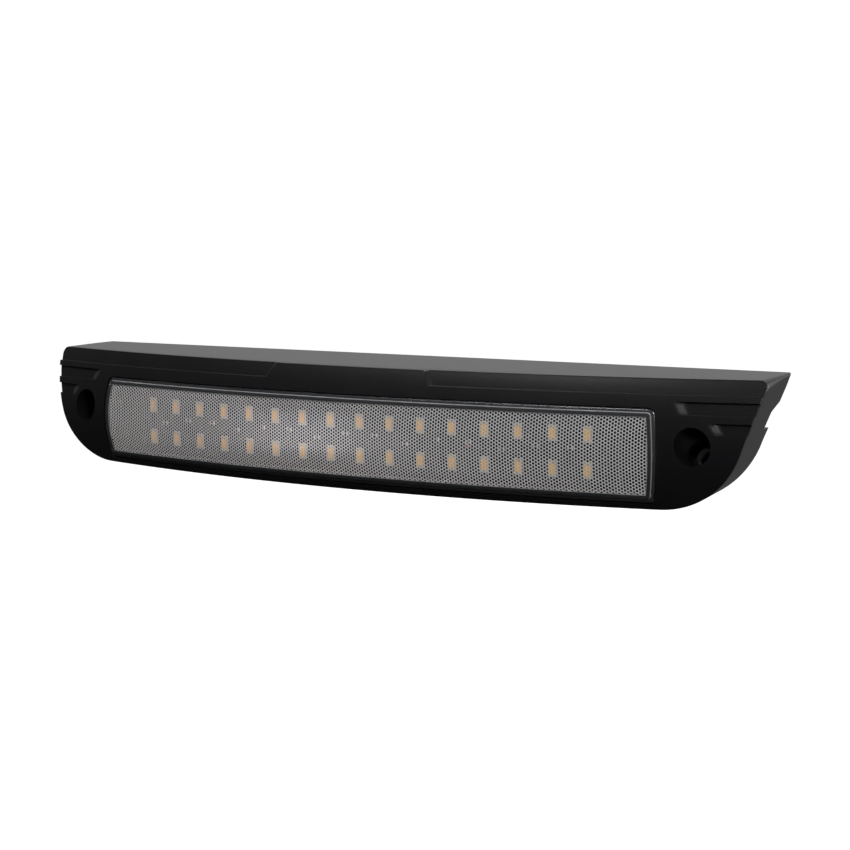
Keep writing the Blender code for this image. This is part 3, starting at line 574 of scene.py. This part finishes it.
# Screws: places of the mounting screws, the cover screws and the carrier screws.
SCREW_X = 130.6 * MM
COUNTERBORE = (6.0 * MM, 15.0 * MM)
NECK_RADIUS = 4.2 * MM
THROUGH_RADIUS = 3.1 * MM
SEAT = 6.0 * MM
SLEEVE_WALL = 1.8 * MM
POST_RADIUS = 3.2 * MM
POST_LENGTH = 7.4 * MM
PILOT_RADIUS = 1.55 * MM
PILOT_FLOOR = 2.5 * MM
TAIL_REACH = 0.95 * MM
ROUND_SIDES = 64
POST_SIDES = 24
PILOT_SIDES = 16
COVER_FRONT = -5.6 * MM
WEB_REACH = 7.4 * MM
NOTCH_TOP = 11.6 * MM
NOTCH_FOOT = 3.6 * MM
NOTCH_DEPTH = 5.9 * MM
NOTCH_INNER = 138.0 * MM
NOTCH_EASE_START = 3.0 * MM
NOTCH_EASE_LENGTH = 5.0 * MM
# Two lengths in millimetres: how far ahead of the face the bores start, and a cover post's solid foot.
BORE_AHEAD = 10
POST_FOOT = 1.2


def on_mount(x, up, offset):
    """A point by its place on the mounting face and its offset along the normal."""
    rise = Vector((0.0, math.sin(MOUNT_TILT), math.cos(MOUNT_TILT)))
    return Vector((x, 0.0, 0.0)) + rise * up + MOUNT_NORMAL * offset


def tubs(name, specs):
    """Boxes square to the mounting face: place, size, and their two offsets along the normal."""
    points, faces = [], []
    corners = ((-1, -1), (1, -1), (1, 1), (-1, 1))
    for x, up, size, near, rear in specs:
        first = len(points)
        for offset in (near, rear):
            points += [on_mount(x + a * size[0] / 2, up + b * size[1] / 2, offset) for a, b in corners]
        loop = first + np.arange(4)
        faces += band_faces(loop + 4, loop) + [loop[::-1].tolist(), (loop + 4).tolist()]
    return outward(mesh_object(name, np.array([tuple(point) for point in points]), faces))


def notch_bars():
    """Bars along X under each end's rear edge: square below, easing out by a smooth step above."""
    ease = np.linspace(0, 1, 13)
    rise = 3 * ease**2 - 2 * ease**3
    level = np.concatenate([[NOTCH_FOOT], NOTCH_TOP - NOTCH_EASE_START + NOTCH_EASE_LENGTH * ease])
    offset = np.concatenate([[-NOTCH_DEPTH], -NOTCH_DEPTH * (1 - rise) + MM * rise])
    level = np.append(level, (level[-1], NOTCH_FOOT))
    y = np.append(tilted_y(level[:-2], offset), (FAR, FAR))
    count = len(level)
    blocks, faces = [], []
    for side in (-1, 1):
        for x in (side * NOTCH_INNER, side * (TOP_HALF + FAR)):
            blocks.append(np.stack([np.full(count, x), y, level], axis=1))
        near = (len(blocks) - 2) * count + np.arange(count)
        faces += band_faces(near, near + count) + [near.tolist(), (near + count)[::-1].tolist()]
    return outward(mesh_object("notches", np.concatenate(blocks), faces))


def node_axis(node):
    """Middle of a CAD node's box."""
    low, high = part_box(node)
    return (low + high) / 2


screw_starts = [Vector((side * SCREW_X, float(face_y(SCREW_X, 0.0)), 0.0)) for side in (-1, 1)]
screw_runs = [-start.dot(MOUNT_NORMAL) for start in screw_starts]
housing = body_shell("housing_moulding")
sleeve_specs = []
bore_specs = []
for start, run in zip(screw_starts, screw_runs):
    shoulder = COUNTERBORE[1] + SLEEVE_WALL
    wide, narrow = COUNTERBORE[0] + SLEEVE_WALL, NECK_RADIUS + SLEEVE_WALL
    sleeve_specs.append((wide, start - MOUNT_NORMAL * 2 * wide, MOUNT_NORMAL, 2 * wide + shoulder))
    sleeve_specs.append((narrow, start + MOUNT_NORMAL * (shoulder - MM), MOUNT_NORMAL,
                         run - shoulder - SKIRT_SETBACK + TAIL_REACH))
    ahead = start - MOUNT_NORMAL * BORE_AHEAD * MM
    bore_specs.append((COUNTERBORE[0], ahead, MOUNT_NORMAL, COUNTERBORE[1] + BORE_AHEAD * MM))
    bore_specs.append((NECK_RADIUS, ahead, MOUNT_NORMAL, run - SEAT + BORE_AHEAD * MM))
    bore_specs.append((THROUGH_RADIUS, ahead, MOUNT_NORMAL, run + 2 * BORE_AHEAD * MM))
sleeves = bars("sleeves", sleeve_specs[0::2], ROUND_SIDES)
combine(sleeves, bars("tails", sleeve_specs[1::2], ROUND_SIDES), "UNION")
combine(sleeves, core(), "INTERSECT")
combine(housing, sleeves, "UNION")
post_specs, pilot_specs, web_specs = [], [], []
for index in range(6):
    place = node_axis(f"cover_screw_{index + 1}")
    up = place.dot(Vector((0.0, math.sin(MOUNT_TILT), math.cos(MOUNT_TILT))))
    base = on_mount(place.x, up, COVER_FRONT - GAP - POST_LENGTH)
    post_specs.append((POST_RADIUS, base, MOUNT_NORMAL, POST_LENGTH))
    web_specs.append((place.x, up + math.copysign(WEB_REACH / 2, up), (POST_RADIUS, WEB_REACH),
                      COVER_FRONT - POST_LENGTH, COVER_FRONT - 2 * GAP))
    pilot_specs.append((PILOT_RADIUS, base + MOUNT_NORMAL * POST_FOOT * MM, MOUNT_NORMAL, POST_LENGTH))
for index in range(4):
    place = node_axis(f"carrier_screw_{index + 1}")
    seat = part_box(f"carrier_screw_{index + 1}")[0].y
    front = float(face_y(place.x, place.z))
    post_specs.append((POST_RADIUS, (place.x, front + FRONT_WALL / 2, place.z), (0, 1, 0), seat - front))
    pilot_specs.append((PILOT_RADIUS, (place.x, front + PILOT_FLOOR, place.z), (0, 1, 0), FAR))
combine(housing, bars("carrier_posts", post_specs[6:], POST_SIDES), "UNION")
cover_posts = bars("cover_posts", post_specs[:6], POST_SIDES)
combine(cover_posts, tubs("webs", web_specs), "UNION")
combine(cover_posts, core(), "INTERSECT")
combine(housing, cover_posts, "UNION")
combine(housing, bars("pilots", pilot_specs, PILOT_SIDES), "DIFFERENCE")
rebate_x, rebate_z = lens_grid(-GAP)
rebate_y = face_y(rebate_x, rebate_z) + REBATE
combine(housing, slab("rebate", rebate_x, rebate_z, -FAR * 2, rebate_y), "DIFFERENCE")
window_x, window_z = lens_grid(LENS_LEDGE)
combine(housing, slab("window", window_x, window_z, -FAR * 2, WINDOW_BACK), "DIFFERENCE")
combine(housing, notch_bars(), "DIFFERENCE")
for specs in (bore_specs[0::3], bore_specs[1::3], bore_specs[2::3]):
    combine(housing, bars("bores", specs, ROUND_SIDES), "DIFFERENCE")
drop_slivers(housing)
smooth(housing)

eroded = Finish("eroded_black", (0.008, 0.008, 0.009), 0.4, Specular_IOR_Level=0.25)
grain = eroded.noise(0.22, 4.0)
cloud = eroded.noise(14.0, 2.0)
eroded.feed("Base Color", eroded.tint((0.006, 0.006, 0.007), (0.010, 0.010, 0.011), cloud))
eroded.feed("Roughness", 0.25 + 0.11 * grain)
eroded.relief(grain, 0.012)
housing.data.materials.clear()
housing.data.materials.append(eroded.material)
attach(housing, BODY)
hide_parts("housing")

# Lens seal: a black bead of sealant in the rebate, pressed flat under the lens's rim.
# It is laid wet and cures in place, to hold the lens and keep water out.


def coat(names, finish):
    """Gives CAD nodes whose shape is kept a procedural finish."""
    for name in names:
        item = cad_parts[name]
        while len(item.material_slots) > 1:
            item.data.materials.pop()
        if item.material_slots:
            item.material_slots[0].material = finish.material
        else:
            item.data.materials.append(finish.material)


sealant = Finish("black_sealant", (0.02, 0.02, 0.021), 0.45)
sealant.feed("Roughness", 0.35 + 0.3 * sealant.noise(1.6))
sealant.feed("Base Color", sealant.tint((0.014, 0.014, 0.015), (0.03, 0.03, 0.031), sealant.noise(5.0)))
sealant.relief(sealant.noise(1.1), 0.03)
coat(["lens_seal"], sealant)

# Lens: one clear acrylic moulding with a plain stepped rim and about five thousand small hexagonal
# optics, each a flat see-through floor inside a sloped, finely frosted wall.
CELL_PITCH = 1.175 * MM
CELL_COLUMN = CELL_PITCH * math.sqrt(3) / 2
CELL_FLOOR = 0.49 * MM
CELL_DEPTH = 0.17 * MM
OPTIC_INSET = 2.9 * MM
OPTIC_CREST = 0.30 * MM
# The rim's section as inset and depth, from the optic's edge outwards. The edge steps get a paler finish, a
# painted highlight standing in for light caught on the steps.
EDGE_STEPS = (2, 6, 7, 11)
rim_profile = np.array([
    (2.9, 2.0), (2.9, 0.32), (2.82, 0.14), (2.65, 0.04), (2.4, 0.0), (1.75, 0.0), (1.45, 0.06),
    (1.3, 0.22), (1.22, 0.42), (0.75, 0.46), (0.4, 0.5), (0.16, 0.62), (0.03, 0.85), (0.0, 1.1), (0.0, 2.0),
]) * MM
loops, blocks = [], []
for inset, depth in rim_profile:
    x, z = (border(values) for values in lens_grid(inset))
    blocks.append(stack(x, face_y(x, z) + depth, z))
    loops.append(len(loops) * len(x) + np.arange(len(x)))
faces = []
for first, second in zip(loops, loops[1:] + loops[:1]):
    faces += band_faces(first, second)
edge_steps = np.isin(np.arange(len(loops)), EDGE_STEPS)
kinds = np.repeat(np.where(edge_steps, 4, 0), len(loops[0]))
lens = outward(mesh_object("lens_moulding", np.concatenate(blocks), faces, kinds))


def hexagon_field(half_length, low, high):
    """Hexagon lattice in whole steps: columns half a cell apart, and six corners shared by neighbours."""
    i, j = np.meshgrid(np.arange(-130, 131), np.arange(-20, 20), indexing="ij")
    middle = np.stack([3 * i, 2 * j + (i & 1)], axis=-1).reshape(-1, 2)
    x, z = middle[:, 0] * CELL_COLUMN / 3, CROWN_MIDDLE + middle[:, 1] * CELL_PITCH / 2
    middle = middle[(np.abs(x) < half_length) & (z > low) & (z < high)]
    around = np.array([(2, 0), (1, 1), (-1, 1), (-2, 0), (-1, -1), (1, -1)])
    corners, index = np.unique((middle[:, None] + around).reshape(-1, 2), axis=0, return_inverse=True)
    return middle, around, corners, index.reshape(-1, 6)


def optic_points(steps, depth):
    """Lattice points in metres on the face, moved back by a depth."""
    x, z = steps[..., 0] * CELL_COLUMN / 3, CROWN_MIDDLE + steps[..., 1] * CELL_PITCH / 2
    return stack(x, face_y(x, z) + depth, z)


reach = 0.55 * CELL_PITCH
middle, around, corners, corner_index = hexagon_field(
    LENS_HALF - OPTIC_INSET + reach, LENS_BOTTOM + OPTIC_INSET - reach, LENS_TOP - OPTIC_INSET + reach)
shrink = CELL_FLOOR / (CELL_PITCH / math.sqrt(3))
crest = optic_points(corners, OPTIC_CREST)
back = optic_points(corners, LENS_THICKNESS)
inner = optic_points(middle[:, None] + around * shrink, OPTIC_CREST + CELL_DEPTH)
cells, shared = len(middle), len(corners)
floor_index = 2 * shared + np.arange(6 * cells).reshape(-1, 6)
after = np.roll(np.arange(6), -1)
walls = np.stack([corner_index, corner_index[:, after], floor_index[:, after], floor_index], axis=-1)
directed = np.stack([corner_index, corner_index[:, after]], axis=-1).reshape(-1, 2)
code = directed[:, 0] * shared + directed[:, 1]
outer_edges = directed[~np.isin(code, directed[:, 1] * shared + directed[:, 0])]
skirt = np.stack([outer_edges[:, 1], outer_edges[:, 0], outer_edges[:, 0] + shared,
                  outer_edges[:, 1] + shared], axis=-1)
faces = walls.reshape(-1, 4).tolist() + floor_index.tolist() + (corner_index[:, ::-1] + shared).tolist()
faces += skirt.tolist()
kinds = np.repeat((1, 2, 3, 3), (6 * cells, cells, cells, len(skirt)))
optic = outward(mesh_object("optic", np.concatenate([crest, back, inner]), faces, kinds))

clear = Finish("clear_acrylic", (0.05, 0.052, 0.055), 0.1, Specular_IOR_Level=0.9)
clear.feed("Roughness", 0.17 + 0.08 * clear.noise(3.0))
clear.feed("Alpha", 0.5 + 0.2 * clear.noise(6.0))
# Edge steps: a pale grey finish that is a painted highlight for the light clear edges catch; its noise
# varies the highlight's strength.
painted_edge_highlight = Finish("edge_painted_highlight", (0.30, 0.30, 0.31), 0.15)
painted_edge_highlight.feed("Base Color", painted_edge_highlight.tint((0.16, 0.16, 0.17), (0.42, 0.42, 0.43), painted_edge_highlight.noise(9.0)))
frosted = Finish("frosted_optic", (0.60, 0.60, 0.61), 0.3, Coat_Weight=0.4, Coat_Roughness=0.12)
frosted.feed("Base Color", frosted.tint((0.52, 0.52, 0.52), (0.76, 0.76, 0.76), frosted.noise(0.6)))
see_through = Finish("optic_floor", (0.01, 0.01, 0.011), 0.2)
see_through.feed("Alpha", 0.02 + 0.06 * see_through.noise(2.0))
inside = Finish("optic_back", (0.05, 0.05, 0.052), 0.15)
inside.feed("Alpha", 0.02 + 0.04 * inside.noise(2.0))
# The faces' material indices count these finishes from 0.
for item in (lens, optic):
    for finish in (clear, frosted, see_through, inside, painted_edge_highlight):
        item.data.materials.append(finish.material)
combine(lens, optic, "UNION")
smooth(lens, 25.0)
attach(lens, BODY)
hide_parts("lens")

# Diodes: cream moulded packages, each with an oblong dish whose middle is filled with yellow phosphor.
# Sixteen stand in each of two rows, turned to follow the bow.
PACKAGE_HALF = (1.5 * MM, 2.8 * MM)
WINDOW_HALF = (1.15 * MM, 2.3 * MM)
HALF_HEIGHT = 0.45 * MM


def rounded(half, radius, steps=4):
    """Rounded rectangle: four quarter arcs about the inner corners."""
    turn = np.linspace(0, math.pi / 2, steps)
    quarter = np.stack([np.cos(turn), np.sin(turn)], axis=1) * radius + np.array(half) - radius
    left = quarter[::-1] * (-1, 1)
    return np.concatenate([quarter, left, -quarter, -left])


# The package's section from its back: half sizes, corner radius and depth of each ring.
PHOSPHOR_RING = 6
package_profile = (
    (PACKAGE_HALF, 0.12, 0.90), (PACKAGE_HALF, 0.12, 0.14), ((1.42 * MM, 2.72 * MM), 0.14, 0.02),
    ((1.36 * MM, 2.66 * MM), 0.14, 0.0), (WINDOW_HALF, 0.50, 0.0), ((1.10 * MM, 2.23 * MM), 0.48, 0.10),
    ((1.09 * MM, 1.75 * MM), 0.5, 0.20), ((0.8 * MM, 1.3 * MM), 0.4, 0.14),
    ((0.3 * MM, 0.8 * MM), 0.25, 0.09),
)
rings = []
for half, radius, depth in package_profile:
    rings.append(np.insert(rounded(half, radius * MM), 1, depth * MM, axis=1))
ring_size = len(rings[0])
package_points = np.concatenate(rings)
package_faces, package_kinds = [list(range(ring_size))[::-1]], [0]
for step in range(len(rings) - 1):
    start = step * ring_size + np.arange(ring_size)
    package_faces += band_faces(start, start + ring_size)
    package_kinds += [int(step >= PHOSPHOR_RING)] * ring_size
package_faces.append((len(package_points) - ring_size + np.arange(ring_size)).tolist())
package_kinds.append(1)

cream = Finish("cream_package_and_painted_glow", (0.72, 0.66, 0.52), 0.35)
cream.feed("Base Color", cream.tint((0.44, 0.39, 0.27), (0.60, 0.53, 0.38), cream.noise(0.7)))
cream.feed("Roughness", 0.3 + 0.2 * cream.noise(0.3))
# A faint cream emission: a painted glow, for the diodes are not switched on.
cream.feed("Emission Color", (0.80, 0.68, 0.42, 1.0))
cream.shader.inputs["Emission Strength"].default_value = 0.05
phosphor = Finish("yellow_phosphor_and_painted_glow", (0.85, 0.50, 0.08), 0.5)
phosphor_grain = phosphor.noise(0.18)
phosphor.feed("Base Color", phosphor.tint((0.78, 0.40, 0.05), (0.92, 0.60, 0.14), phosphor_grain))
# The phosphor's emission is a painted glow, for the diodes are not switched on; it keeps the yellow dots
# bright behind the lens.
phosphor.feed("Emission Color", phosphor.tint((0.80, 0.34, 0.02), (0.95, 0.50, 0.06), phosphor_grain))
phosphor.shader.inputs["Emission Strength"].default_value = 0.25
phosphor.relief(phosphor_grain, 0.02)
for row in ("upper", "lower"):
    for number in range(1, 17):
        node = f"led_{row}_{number:02d}"
        low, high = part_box(node)
        place = (low + high) / 2
        turn = math.atan(place.x / BOW_RADIUS)
        spin = np.array(Matrix.Rotation(turn, 3, "Z"))
        front = place.y - HALF_HEIGHT * math.cos(turn)
        points = package_points @ spin.T + (place.x, front, place.z)
        diode = outward(mesh_object(f"diode_{row}_{number:02d}", points, package_faces, package_kinds))
        diode.data.materials.append(cream.material)
        diode.data.materials.append(phosphor.material)
        smooth(diode, 35.0)
        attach(diode, BODY)
        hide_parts(node)

# Diode board: a thin fibreglass board under dark solder mask, bent to the bow, with copper runs under
# the mask and a row of ceramic resistors soldered between the diodes.
mask = Finish("dark_solder_mask", (0.02, 0.022, 0.024), 0.4)
runs = mask.node("TexWave", {"wave_type": "BANDS", "bands_direction": "X"},
                 {"Vector": mask.place(0.08), "Scale": 1.0, "Distortion": 0.0})
run_mask = mask.node("Math", {"operation": "GREATER_THAN"}, {0: runs, 1: 0.55})
mask.feed("Base Color", mask.tint((0.010, 0.011, 0.012), (0.028, 0.030, 0.033), run_mask))
mask.feed("Roughness", 0.32 + 0.2 * mask.noise(2.5))
mask.relief(run_mask, 0.03)
coat(["led_board"], mask)

ceramic = Finish("resistor_body", (0.02, 0.02, 0.02), 0.4)
ceramic.feed("Roughness", 0.3 + 0.3 * ceramic.noise(0.4))
solder = Finish("solder", (0.70, 0.70, 0.69), 0.3, Metallic=1.0)
solder.feed("Roughness", 0.22 + 0.25 * solder.noise(0.5))
BOARD_FRONT = 5.2 * MM
LED_PITCH = 12.5 * MM
# A resistor: its body and two soldered ends, each by its shift along X, half size and finish.
RESISTOR = ((0.0, (0.62, 0.5, 0.6), 0), (-0.8, (0.2, 0.54, 0.64), 1), (0.8, (0.2, 0.54, 0.64), 1))
RESISTOR_RISE = (-0.6 * MM, 1.4 * MM, 1.4 * MM)
box_faces = [(0, 1, 3, 2), (4, 6, 7, 5), (0, 4, 5, 1), (2, 3, 7, 6), (0, 2, 6, 4), (1, 5, 7, 3)]
chip = np.array([(x, y, z) for z in (-1, 1) for y in (0, 1) for x in (-1, 1)], float)
chip_points, chip_faces, chip_kinds = [], [], []
for number in range(15):
    x = (number - 7) * LED_PITCH
    spin = np.array(Matrix.Rotation(math.atan(x / BOW_RADIUS), 3, "Z"))
    front = x * x / (2 * BOW_RADIUS) - FACE_DEPTH + BOARD_FRONT
    rise = RESISTOR_RISE[number % 3]
    for shift, size, kind in RESISTOR:
        block = chip * np.array(size) * MM * (1, -1, 1) + (shift * MM, 0, 0)
        first = 8 * len(chip_points)
        chip_points.append(block @ spin.T + (x, front, CROWN_MIDDLE + rise))
        chip_faces += [tuple(first + i for i in face) for face in box_faces]
        chip_kinds += [kind] * 6
board_chips = outward(mesh_object("board_resistors", np.concatenate(chip_points), chip_faces, chip_kinds))
board_chips.data.materials.append(ceramic.material)
board_chips.data.materials.append(solder.material)
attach(board_chips, BODY)

# Heat path: a grey silicone pad between the board and a folded, black-anodised aluminium carrier,
# whose upper flange is screwed to posts behind the front wall.
pad = Finish("silicone_pad", (0.33, 0.35, 0.38), 0.7)
pad.feed("Base Color", pad.tint((0.29, 0.31, 0.34), (0.38, 0.40, 0.43), pad.noise(2.0)))
pad.relief(pad.noise(0.5), 0.03)
coat(["thermal_pad"], pad)

folded = Finish("anodised_aluminium", (0.03, 0.03, 0.032), 0.4, Metallic=0.6)
rolled = folded.noise(0.35, 4.0, folded.place((0.02, 1.0, 1.0)))
folded.feed("Base Color", folded.tint((0.018, 0.018, 0.019), (0.042, 0.042, 0.045), rolled))
folded.feed("Roughness", 0.28 + 0.2 * rolled)
folded.relief(rolled, 0.008)
coat(["led_carrier"], folded)

# Fixings: zinc-plated steel screws with a drive socket, driven into the posts.
# Four hold the carrier and six hold the rear cover.
plated = Finish("plated_steel", (0.60, 0.60, 0.58), 0.3, Metallic=1.0)
worn = plated.noise(0.8, 4.0)
plated.feed("Base Color", plated.tint((0.48, 0.48, 0.47), (0.70, 0.70, 0.67), worn))
plated.feed("Roughness", 0.22 + 0.25 * worn)
plated.relief(plated.noise(0.25), 0.006)
coat([f"carrier_screw_{n}" for n in range(1, 5)], plated)
coat([f"cover_screw_{n}" for n in range(1, 7)], plated)

# Rear cover: a flat black ABS plate, moulded like the housing but a shade rougher, let into the back.
# Six screws hold it, and it carries the socket, the vent and the gasket.
cover_skin = Finish("cover_black", (0.018, 0.018, 0.018), 0.6)
cover_grain = cover_skin.noise(0.3, 4.0)
cover_cloud = cover_skin.noise(9.0)
cover_skin.feed("Base Color", cover_skin.tint((0.013, 0.013, 0.013), (0.024, 0.024, 0.025), cover_cloud))
cover_skin.feed("Roughness", 0.5 + 0.2 * cover_grain)
cover_skin.relief(cover_grain, 0.015)
coat(["rear_cover"], cover_skin)

# Mounting gasket: closed-cell foam, cut from sheet and stuck to the cover.
# The vehicle squeezes it, to keep water out.
foam = Finish("closed_cell_foam", (0.03, 0.03, 0.03), 0.9)
cells_of_foam = foam.node("TexVoronoi", None, {"Vector": foam.place(), "Scale": 1.6})
# The cells' middles, which the bump sinks, are painted darker: painted shade in the hollows.
foam.feed("Base Color", foam.tint((0.014, 0.014, 0.014), (0.045, 0.045, 0.046), cells_of_foam))
foam.relief(cells_of_foam, 0.12)
coat(["mounting_gasket"], foam)

# Electrical inlet: a glass-filled nylon socket in the cover with two tinned blades, fed from the board
# by two short insulated wires.
nylon = Finish("filled_nylon", (0.025, 0.025, 0.028), 0.45)
fibre = nylon.noise(0.3, 4.0, nylon.place((0.3, 1.0, 1.0)))
nylon.feed("Base Color", nylon.tint((0.018, 0.018, 0.020), (0.036, 0.036, 0.040), fibre))
nylon.feed("Roughness", 0.38 + 0.2 * fibre)
coat(["connector_socket"], nylon)
tinned = Finish("tinned_brass", (0.74, 0.70, 0.58), 0.28, Metallic=1.0)
tinned.feed("Base Color", tinned.tint((0.66, 0.60, 0.44), (0.80, 0.78, 0.70), tinned.noise(0.8)))
tinned.feed("Roughness", 0.2 + 0.2 * tinned.noise(0.4))
coat(["terminal_pin_1", "terminal_pin_2"], tinned)
for colour_name, dark, light in (("red", (0.36, 0.012, 0.012), (0.48, 0.022, 0.02)),
                                 ("black", (0.014, 0.014, 0.014), (0.026, 0.026, 0.026))):
    wire = Finish(f"insulation_{colour_name}", light, 0.4)
    wire.feed("Base Color", wire.tint(dark, light, wire.noise(1.5)))
    wire.feed("Roughness", 0.32 + 0.2 * wire.noise(0.6))
    coat([f"lead_{colour_name}"], wire)

# Breather vent: a grey moulded plug with a mushroom head and a small hole, pressed into the cover.
# It lets the air inside warm and cool without drawing water in.
vent = Finish("vent_grey", (0.20, 0.21, 0.22), 0.5)
vent.feed("Base Color", vent.tint((0.16, 0.17, 0.18), (0.25, 0.26, 0.27), vent.noise(1.2)))
vent.feed("Roughness", 0.42 + 0.2 * vent.noise(0.4))
coat(["breather_vent"], vent)

# Size of the whole lamp after dressing, as its size before dressing was taken above.
low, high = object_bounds()
